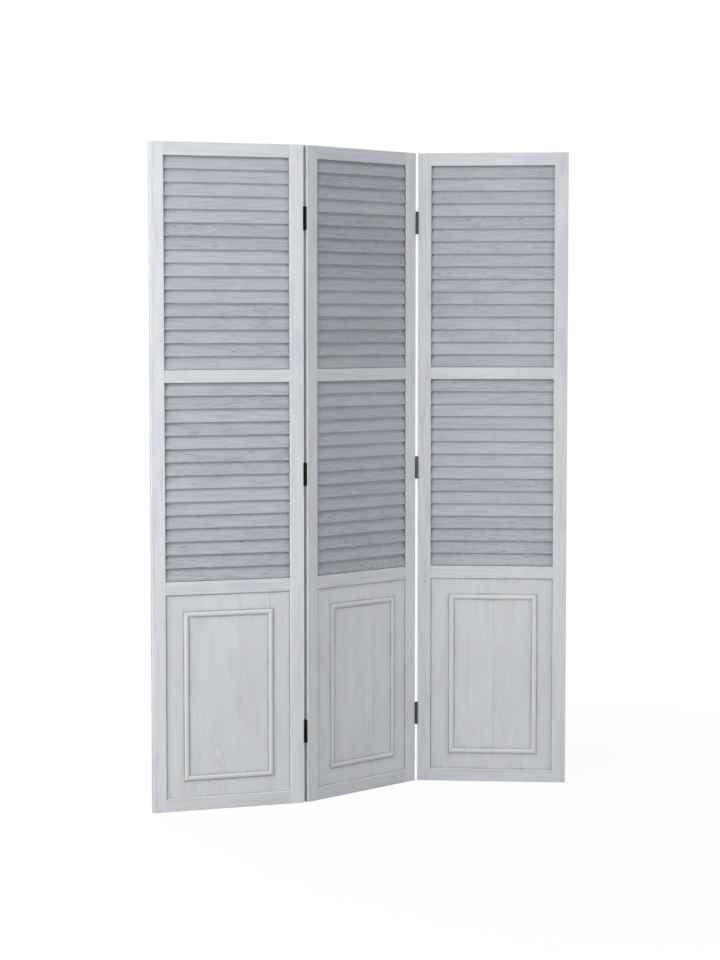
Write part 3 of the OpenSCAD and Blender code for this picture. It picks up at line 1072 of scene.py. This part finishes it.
class MouldingTree(GeometryTree):
    """A mitred frame of moulding strips: a lip, a crown and a lip."""

    # Straight pieces of the crown, and points of the lip on each of its sides
    CROWN_STEPS = 12
    LIP_POINTS = 2
    STRIPS = 4
    # Where in the log the strips were cut
    LOG_NEAR_MM = (0.0, 20.0, 20.0)
    LOG_FAR_MM = (2400.0, 80.0, 60.0)
    # Inputs that take a number
    NUMBERS = (
        "Frame width", "Frame height", "Strip width", "Strip height", "Lip width", "Lip height",
        "Mitre gap", "Facing",
    )

    def __init__(self) -> None:
        """Build the tree from the strip's section to the mitred frame."""
        super().__init__("mitred moulding", {"Middle": VECTOR, **dict.fromkeys(self.NUMBERS, NUMBER)})
        self.close(self._frame(self._section()))

    def _section(self) -> Any:
        """Draw the strip's section from its point numbers.

        Returns:
            Node with a closed curve, whose X is the height and whose -Y runs across.
        """
        index = self.add("GeometryNodeInputIndex")
        last = self.CROWN_STEPS + 2 * self.LIP_POINTS
        ends = {"From Min": float(self.LIP_POINTS), "From Max": float(last - self.LIP_POINTS)}
        span = {**ends, "To Min": math.pi, "To Max": 0.0}
        angle = self.add("ShaderNodeMapRange", {"Value": index, **span})
        half = self.add("ShaderNodeMath", {0: self.given["Strip width"], 1: 0.5}, operation="MULTIPLY")
        crown = self.add("ShaderNodeMath", {0: half, 1: self.given["Lip width"]}, operation="SUBTRACT")
        swing = self.add("ShaderNodeMath", {0: angle}, operation="COSINE")
        across = self.add("ShaderNodeMath", {0: crown, 1: swing, 2: half}, operation="MULTIPLY_ADD")
        # A lip's points stand out by its width, and the first and the last point stay on the board
        ends_below, starts_above = self.LIP_POINTS - 0.5, last - self.LIP_POINTS + 0.5
        lips = self.add("ShaderNodeMath", {0: index, 1: starts_above}, operation="GREATER_THAN")
        first_lip = self.add("ShaderNodeMath", {0: index, 1: ends_below}, operation="LESS_THAN")
        lips = self.add("ShaderNodeMath", {0: lips, 1: first_lip}, operation="SUBTRACT")
        across = self.add(
            "ShaderNodeMath", {0: lips, 1: self.given["Lip width"], 2: across}, operation="MULTIPLY_ADD"
        )
        lip = self.given["Lip height"]
        rise = self.add("ShaderNodeMath", {0: self.given["Strip height"], 1: lip}, operation="SUBTRACT")
        lift = self.add("ShaderNodeMath", {0: angle}, operation="SINE")
        high = self.add("ShaderNodeMath", {0: rise, 1: lift, 2: lip}, operation="MULTIPLY_ADD")
        after_first = self.add("ShaderNodeMath", {0: index, 1: 0.5}, operation="GREATER_THAN")
        before_last = self.add("ShaderNodeMath", {0: index, 1: last - 0.5}, operation="LESS_THAN")
        inside = self.add("ShaderNodeMath", {0: after_first, 1: before_last}, operation="MULTIPLY")
        high = self.add("ShaderNodeMath", {0: high, 1: inside}, operation="MULTIPLY")
        sideways = self.add("ShaderNodeMath", {0: across, 1: -1.0}, operation="MULTIPLY")
        point = self.add("ShaderNodeCombineXYZ", {"X": high, "Y": sideways})
        dots = self.add("GeometryNodeMeshLine", {"Count": last + 1, "Offset": (0.0, -MM, 0.0)})
        shaped = self.add("GeometryNodeSetPosition", {"Geometry": dots, "Position": point})
        outline = self.add("GeometryNodeMeshToCurve", {"Mesh": shaped})
        return self.add("GeometryNodeSetSplineCyclic", {"Geometry": outline, "Cyclic": True})

    def _strip(self, section: Any, length: Any, number: int) -> Any:
        """Sweep one strip along X and cut both mitres.

        Args:
            section: node with the section.
            length: socket with the strip's outer length.
            number: which strip of the frame it is, for its own grain.

        Returns:
            Node with the strip, its outer edge on X and its width up.
        """
        line = self.add("GeometryNodeCurvePrimitiveLine", {"End": (1.0, 0.0, 0.0)})
        sweep = {"Curve": line, "Profile Curve": section, "Fill Caps": True}
        bar = self.add("GeometryNodeCurveToMesh", sweep)
        along, out, across = self.coordinates()
        mitre = {0: self.given["Mitre gap"], 1: 0.5, 2: across}
        start = self.add("ShaderNodeMath", mitre, operation="MULTIPLY_ADD")
        both = self.add("ShaderNodeMath", {0: start, 1: 2.0}, operation="MULTIPLY")
        between = self.add("ShaderNodeMath", {0: length, 1: both}, operation="SUBTRACT")
        reach = self.add("ShaderNodeMath", {0: along, 1: between, 2: start}, operation="MULTIPLY_ADD")
        place = self.add("ShaderNodeCombineXYZ", {"X": reach, "Y": out, "Z": across})
        strip = self.add("GeometryNodeSetPosition", {"Geometry": bar, "Position": place})

        # The coordinates are read anew where the attributes are stored, so after the cut
        in_mm = self.in_mm(along, across, out)
        log = {"Min": self.LOG_NEAR_MM, "Max": self.LOG_FAR_MM, "ID": number, "Seed": self.given["Seed"]}
        spot = self.add("FunctionNodeRandomValue", log, data_type="FLOAT_VECTOR")
        grain = self.add("ShaderNodeVectorMath", {0: in_mm, 1: spot}, operation="ADD")
        # The strip rises from the board towards -Y
        above = self.add("ShaderNodeVectorMath", {0: in_mm, 1: (1.0, 1.0, -1.0)}, operation="MULTIPLY")
        pick = {"ID": number + self.STRIPS, "Seed": self.given["Seed"]}
        tone = self.add("FunctionNodeRandomValue", pick, data_type="FLOAT")
        for name, value, kind in (
            (GRAIN, grain, "FLOAT_VECTOR"),
            (NEAR, above, "FLOAT_VECTOR"),
            (TONE, tone, "FLOAT"),
        ):
            strip = self.add(
                "GeometryNodeStoreNamedAttribute",
                {"Geometry": strip, "Name": name, "Value": value},
                data_type=kind,
                domain="POINT",
            )
        return strip

    def _frame(self, section: Any) -> Any:
        """Join four strips corner to corner and stand the frame on the board.

        Args:
            section: node with the section.

        Returns:
            Node with the frame in the leaf's own axes.
        """
        right, left, top, foot = (
            self.add("ShaderNodeMath", {0: self.given[size], 1: share}, operation="MULTIPLY")
            for size in ("Frame width", "Frame height")
            for share in (0.5, -0.5)
        )
        # Each strip starts at the corner where the one before it ends
        corners = [(left, foot), (right, foot), (right, top), (left, top)]
        joined = self.add("GeometryNodeJoinGeometry")
        for number, (x, z) in enumerate(corners):
            length = self.given["Frame height" if number % 2 else "Frame width"]
            strip = self._strip(section, length, number)
            corner = self.add("ShaderNodeCombineXYZ", {"X": x, "Z": z})
            turn = (0.0, -number * math.pi / 2, 0.0)
            stood = self.add(
                "GeometryNodeTransform", {"Geometry": strip, "Translation": corner, "Rotation": turn}
            )
            self.tree.links.new(in_use(stood.outputs), joined.inputs[0])
        facing = self.add("ShaderNodeCombineXYZ", {"Z": self.given["Facing"]})
        planted = {"Translation": self.given["Middle"], "Rotation": facing}
        return self.add("GeometryNodeTransform", {"Geometry": joined, **planted})


# Sub-assemblies


@dataclass
class Workshop:
    """The finishes' materials and the two node trees that every leaf shares."""

    materials: dict[str, bpy.types.Material]
    louvres: LouvreTree
    mouldings: MouldingTree


@dataclass(frozen=True)
class Plank:
    """One plank of a sawn piece: where it was cut from its log, and how it took the wash."""

    # A drawn plank comes from between these places in the pile's logs
    PILE_NEAR_MM: ClassVar[tuple[float, ...]] = (0.0, -90.0, 10.0)
    PILE_FAR_MM: ClassVar[tuple[float, ...]] = (1600.0, 90.0, 60.0)

    # Along the log, across its face from the pith's line, and out from the pith
    log_mm: Vector
    tone: float
    # The plank's right edge in the leaf's own axes
    right_edge: float = math.inf

    @classmethod
    def drawn(cls, draw: np.random.Generator, tones: tuple[float, float]) -> "Plank":
        """Draw a plank from anywhere in the pile, with a tone between the two given."""
        place = Vector([draw.uniform(near, far) for near, far in zip(cls.PILE_NEAR_MM, cls.PILE_FAR_MM)])
        return cls(place, draw.uniform(*tones))


@dataclass
class Leaf:
    """One leaf of the screen: stiles, rails, louvres, board and mouldings."""

    side: Side
    place: LeafPlace
    sizes: LeafSizes
    workshop: Workshop
    seed: int
    board_planks: list[Plank]
    stile_tones: tuple[float, float]
    rail_tones: tuple[float, float]
    # From the furthest bow one way to the furthest one the other way
    slat_bow: float = 0.5 * MM
    # Corners of a CAD mesh that lie closer than this are joined
    weld: float = 0.001 * MM
    # Edges that turn by more than this stay sharp, on sawn timber and on slats
    sharp_above: float = math.radians(35)
    slats_sharp_above: float = math.radians(50)

    @property
    def body(self) -> str:
        """Name of the CAD body that the leaf's pieces ride on."""
        return f"{self.side.value}_panel"

    def _cad(self, part: str) -> str:
        """Name of one of the leaf's CAD nodes."""
        return f"{self.body}_{part}"

    def _extent(self, part: str) -> tuple[Vector, Vector]:
        """Measure a CAD part in the leaf's own axes.

        Args:
            part: the CAD part's name within the leaf.

        Returns:
            Its lowest and its highest corner.
        """
        to_leaf = self.place.matrix.inverted()
        points = np.array([to_leaf @ vertex.co for vertex in frame["nodes"][self._cad(part)].data.vertices])
        return Vector(points.min(axis=0)), Vector(points.max(axis=0))

    def _timber(self, part: str, finish: WashedWood, run: Run, planks: list[Plank]) -> None:
        """Take a sawn piece from the frame and give it its grain.

        Args:
            part: the CAD part's name within the leaf.
            finish: the wash on it.
            run: which way its grain runs.
            planks: the planks it is glued up from, from left to right.
        """
        mesh = frame["nodes"][self._cad(part)].data.copy()
        to_leaf = self.place.matrix.inverted()
        shaped = bmesh.new()
        shaped.from_mesh(mesh)
        bmesh.ops.remove_doubles(shaped, verts=shaped.verts, dist=self.weld)
        for plank in planks[:-1]:
            bmesh.ops.bisect_plane(
                shaped,
                geom=shaped.verts[:] + shaped.edges[:] + shaped.faces[:],
                plane_co=self.place.matrix @ Vector((plank.right_edge, 0.0, 0.0)),
                plane_no=self.place.matrix.to_3x3() @ Vector((1.0, 0.0, 0.0)),
            )
        middle = sum(self._extent(part), Vector()) / 2
        moulding = sum(self._extent("front_moulding"), Vector()) / 2
        grain, tone, place, near = [], [], [], []
        for face in shaped.faces:
            spot = to_leaf @ face.calc_center_median()
            plank = next(plank for plank in planks if spot.x < plank.right_edge)
            for loop in face.loops:
                point = to_leaf @ loop.vert.co
                own = (point - middle) / MM
                along = (own.x, own.z, own.y) if run is Run.LEVEL else (own.z, own.x, own.y)
                grain.extend(Vector(along) + plank.log_mm)
                tone.append(plank.tone)
                place.extend((own.x, own.z, own.y))
                from_seam = point.x - min(planks[0].right_edge, self.sizes.width)
                near.extend(Vector((point.x - moulding.x, point.z - moulding.z, from_seam)) / MM)
        shaped.to_mesh(mesh)
        shaped.free()
        for name, values in ((GRAIN, grain), (PLACE, place), (NEAR, near)):
            mesh.attributes.new(name, "FLOAT_VECTOR", "CORNER").data.foreach_set("vector", values)
        mesh.attributes.new(TONE, "FLOAT", "CORNER").data.foreach_set("value", tone)
        mesh.materials.clear()
        mesh.materials.append(self.workshop.materials[finish.slot])
        mesh.name = f"{self.side.value}_{part}"
        piece = add_object(mesh.name, mesh)
        smooth_rounds(piece, self.sharp_above)
        hand_over(piece, self.body, finish.slot, self._cad(part))

    def _louvres(self, window: Window) -> None:
        """Hang one window's slats.

        Args:
            window: which window.
        """
        sizes = self.sizes
        low, high = self._extent(f"{window.value}_slats")
        top = high.z + sizes.top_clearance
        sill = low.z - sizes.slat_rise
        bank = self.workshop.louvres.build(
            f"{self.side.value}_{window.value}_louvres",
            {
                "Count": round((top - sill) / sizes.slat_pitch),
                "Pitch": sizes.slat_pitch,
                "First height": sizes.slat_middle(top),
                "Middle depth": sizes.thickness / 2,
                "Left end": low.x,
                "Length": high.x - low.x,
                "Board width": sizes.slat_width,
                "Thickness": sizes.slat_thickness,
                "Lean": sizes.slat_lean,
                "Cut height": high.z,
                "Sill height": sill,
                "Window middle": sizes.width / 2,
                "Window half": sizes.opening_width / 2,
                "Bow": self.slat_bow,
                "Seed": self.seed + list(Window).index(window),
                "Turn": self.place.turn,
                "Stand": self.place.stand,
                "Material": self.workshop.materials[SLAT_WOOD.slot],
            },
        )
        smooth_rounds(bank, self.slats_sharp_above)
        hand_over(bank, self.body, SLAT_WOOD.slot, self._cad(f"{window.value}_slats"))

    def _moulding(self, face: Face) -> None:
        """Plant a mitred moulding on one face of the board.

        Args:
            face: which face of the leaf.
        """
        sizes = self.sizes
        front = face is Face.FRONT
        low, high = self._extent(f"{face.value}_moulding")
        middle = (low + high) / 2
        moulding = self.workshop.mouldings.build(
            f"{self.side.value}_{face.value}_moulding_frame",
            {
                "Frame width": sizes.moulding_width,
                "Frame height": sizes.moulding_height,
                "Strip width": sizes.strip_width,
                "Strip height": sizes.strip_height,
                "Lip width": sizes.lip_width,
                "Lip height": sizes.lip_height,
                "Mitre gap": sizes.mitre_gap,
                "Facing": 0.0 if front else math.pi,
                "Middle": (middle.x, high.y if front else low.y, middle.z),
                "Seed": self.seed + len(Window) + list(Face).index(face),
                "Turn": self.place.turn,
                "Stand": self.place.stand,
                "Material": self.workshop.materials[MOULDING_WOOD.slot],
            },
        )
        smooth_rounds(moulding, self.sharp_above)
        hand_over(moulding, self.body, MOULDING_WOOD.slot, self._cad(f"{face.value}_moulding"))

    def build(self) -> None:
        """Build and dress the whole leaf."""
        draw = np.random.default_rng(self.seed)
        for part in ("left_stile", "right_stile"):
            self._timber(part, FRAME_WOOD, Run.UPRIGHT, [Plank.drawn(draw, self.stile_tones)])
        for part in ("top_rail", "upper_rail", "lower_rail", "bottom_rail"):
            self._timber(part, FRAME_WOOD, Run.LEVEL, [Plank.drawn(draw, self.rail_tones)])
        self._timber("board", BOARD_WOOD, Run.UPRIGHT, self.board_planks)
        for window in Window:
            self._louvres(window)
        for face in Face:
            self._moulding(face)
        dowels = frame["nodes"][self._cad("dowels")]
        dowels.material_slots[0].material = self.workshop.materials[DOWEL_BEECH.slot]


@dataclass
class HingeJoint:
    """The three butt hinges between two leaves, with their pins and screws."""

    side: Side
    workshop: Workshop

    def build(self) -> None:
        """Lacquer the plates, the pins and the screws."""
        prefix = f"{self.side.value}_joint_"
        for name, cad_node in frame["nodes"].items():
            if name.startswith(prefix):
                iron = SCREW_IRON if name.endswith("screws") else HINGE_IRON
                cad_node.material_slots[0].material = self.workshop.materials[iron.slot]


@dataclass(frozen=True)
class Lamp:
    """A square soft box that looks at the screen's middle."""

    name: str
    azimuth: float
    height: float
    watts: float
    width: float = 1.2
    distance: float = 3.2
    aim: Vector = Vector((0.0, 0.0, 0.9))

    def hang(self) -> None:
        """Hang the lamp in the studio."""
        light = bpy.data.lights.new(self.name, "AREA")
        light.shape = "SQUARE"
        light.size = self.width
        light.energy = self.watts
        holder = bpy.data.objects.new(self.name, light)
        turn = math.radians(self.azimuth)
        place = Vector((self.distance * math.sin(turn), -self.distance * math.cos(turn), self.height))
        look = (self.aim - place).to_track_quat("-Z", "Y")
        holder.matrix_world = Matrix.Translation(place) @ look.to_matrix().to_4x4()
        bpy.context.scene.collection.objects.link(holder)


@dataclass(frozen=True)
class Studio:
    """Plain pale floor, soft lamps, white surroundings and the photograph's camera."""

    eye: tuple[float, float, float] = (-0.013474, -5.931673, 1.24766)
    pitch_down: float = math.radians(3.97)
    lens_mm: float = 85.17
    film_mm: float = 36.0
    ambient: float = 0.38
    floor_radius: float = 9.0
    floor_sides: int = 96
    # The light that the floor throws up at the screen
    floor_tone: str = "#7e7e7e"
    # The lamps count near the screen only, so that the floor fades into the white behind
    shadow_near: float = 0.8
    shadow_far: float = 2.2
    # Share of the floor's white that the lamps give near the screen, which leaves a faint shadow
    shadow_share: float = 0.1
    lamps: tuple[Lamp, ...] = (
        Lamp("key", azimuth=-45, height=1.4, watts=80, width=2.2),
        Lamp("top", azimuth=-15, height=4.0, watts=35),
        Lamp("fill", azimuth=75, height=0.4, watts=30),
        Lamp("back", azimuth=200, height=2.2, watts=60, width=2.2),
    )

    def build(self) -> None:
        """Set up the camera, the lamps, the floor and the world."""
        self._camera()
        for lamp in self.lamps:
            lamp.hang()
        self._floor()
        self._world()
        bpy.context.scene.view_settings.view_transform = "Standard"

    def _camera(self) -> None:
        """Stand the camera where the photograph was taken from."""
        lens = bpy.data.cameras.new("camera")
        lens.lens = self.lens_mm
        lens.sensor_width = self.film_mm
        stand = bpy.data.objects.new("camera", lens)
        stand.location = self.eye
        stand.rotation_euler = (math.pi / 2 - self.pitch_down, 0.0, 0.0)
        bpy.context.scene.collection.objects.link(stand)
        bpy.context.scene.camera = stand

    @staticmethod
    def _seen(add: Add) -> Any:
        """Tell apart the rays that show the background itself.

        Args:
            add: adds a node to the tree.

        Returns:
            Node with 1 for a camera, glossy or transmitted ray.
        """
        path = add("ShaderNodeLightPath").outputs
        rays = {0: path["Is Camera Ray"], 1: path["Is Glossy Ray"]}
        first = add("ShaderNodeMath", rays, operation="MAXIMUM")
        return add("ShaderNodeMath", {0: first, 1: path["Is Transmission Ray"]}, operation="MAXIMUM")

    def _floor(self) -> None:
        """Lay a round pale floor that keeps a faint shadow."""
        shape = bmesh.new()
        bmesh.ops.create_circle(shape, cap_ends=True, segments=self.floor_sides, radius=self.floor_radius)
        mesh = bpy.data.meshes.new("floor")
        shape.to_mesh(mesh)
        shape.free()
        floor = add_object("floor", mesh)
        material, add = empty_material("pale studio floor")
        place = add("ShaderNodeTexCoord").outputs["Object"]
        away = add("ShaderNodeVectorMath", {0: place}, operation="LENGTH")
        span = {"From Min": self.shadow_far, "From Max": self.shadow_near, "To Max": self.shadow_share}
        lamp_share = add("ShaderNodeMapRange", {"Value": away, **span}, interpolation_type="SMOOTHSTEP")
        lit = add("ShaderNodeBsdfDiffuse", {"Color": WHITE})
        white = add("ShaderNodeEmission", {"Color": WHITE, "Strength": 1.0})
        shown = add("ShaderNodeMixShader", {0: lamp_share, 1: white, 2: lit})
        pale = add("ShaderNodeBsdfDiffuse", {"Color": linear(self.floor_tone)})
        both = add("ShaderNodeMixShader", {0: self._seen(add), 1: pale, 2: shown})
        add("ShaderNodeOutputMaterial", {0: both})
        floor.data.materials.append(material)

    def _world(self) -> None:
        """Surround the studio with white that lights the screen only softly."""
        world = bpy.data.worlds.new("studio")
        world.use_nodes = True
        world.node_tree.nodes.clear()
        add = partial(node, world.node_tree)
        seen = add("ShaderNodeBackground", {"Color": WHITE, "Strength": 1.0})
        soft = add("ShaderNodeBackground", {"Color": WHITE, "Strength": self.ambient})
        both = add("ShaderNodeMixShader", {0: self._seen(add), 1: soft, 2: seen})
        add("ShaderNodeOutputWorld", {0: both})
        bpy.context.scene.world = world


# The screen

# Each board is glued up from two planks. Only the left board's first one is cut near the pith,
# which gives the arches at its foot.
BOARD_PLANKS = {
    Side.LEFT: [
        Plank(Vector((0.0, 31.0, 48.0)), 0.5, right_edge=312 * MM),
        Plank(Vector((700.0, 80.0, 30.0)), 0.4),
    ],
    Side.MIDDLE: [
        Plank(Vector((150.0, 330.0, 22.0)), 0.9, right_edge=246 * MM),
        Plank(Vector((100.0, -330.0, 25.0)), 0.8),
    ],
    Side.RIGHT: [
        Plank(Vector((250.0, 330.0, 15.0)), 0.15, right_edge=206 * MM),
        Plank(Vector((60.0, -330.0, 40.0)), 0.0),
    ],
}

# Where the random draws of a leaf start
LEAF_SEEDS = {Side.LEFT: 3, Side.MIDDLE: 13, Side.RIGHT: 23}

# The least and the most white that the stiles and the rails of a leaf took from the wash
FRAME_TONES = {
    Side.LEFT: ((0.8, 1.0), (0.3, 0.5)),
    Side.MIDDLE: ((0.8, 1.0), (0.2, 0.4)),
    Side.RIGHT: ((0.0, 0.3), (0.0, 0.15)),
}


def main() -> None:
    """Build the studio and the screen, and report each step."""
    logging.basicConfig(level=logging.INFO, format="%(message)s")
    Studio().build()
    LOG.info("studio built")
    finishes = (FRAME_WOOD, SLAT_WOOD, BOARD_WOOD, MOULDING_WOOD, HINGE_IRON, SCREW_IRON, DOWEL_BEECH)
    materials = {finish.slot: finish.material() for finish in finishes}
    workshop = Workshop(materials, LouvreTree(), MouldingTree())
    places = leaf_places(SIZES)
    for side in Side:
        seed, planks, tones = LEAF_SEEDS[side], BOARD_PLANKS[side], FRAME_TONES[side]
        Leaf(side, places[side], SIZES, workshop, seed, planks, *tones).build()
        LOG.info("%s leaf built, turned %.2f degrees", side.value, math.degrees(places[side].turn))
    for side in (Side.LEFT, Side.RIGHT):
        HingeJoint(side, workshop).build()
        LOG.info("%s joint's hinges lacquered", side.value)
    LOG.info("size written")


if __name__ == "__main__":
    main()
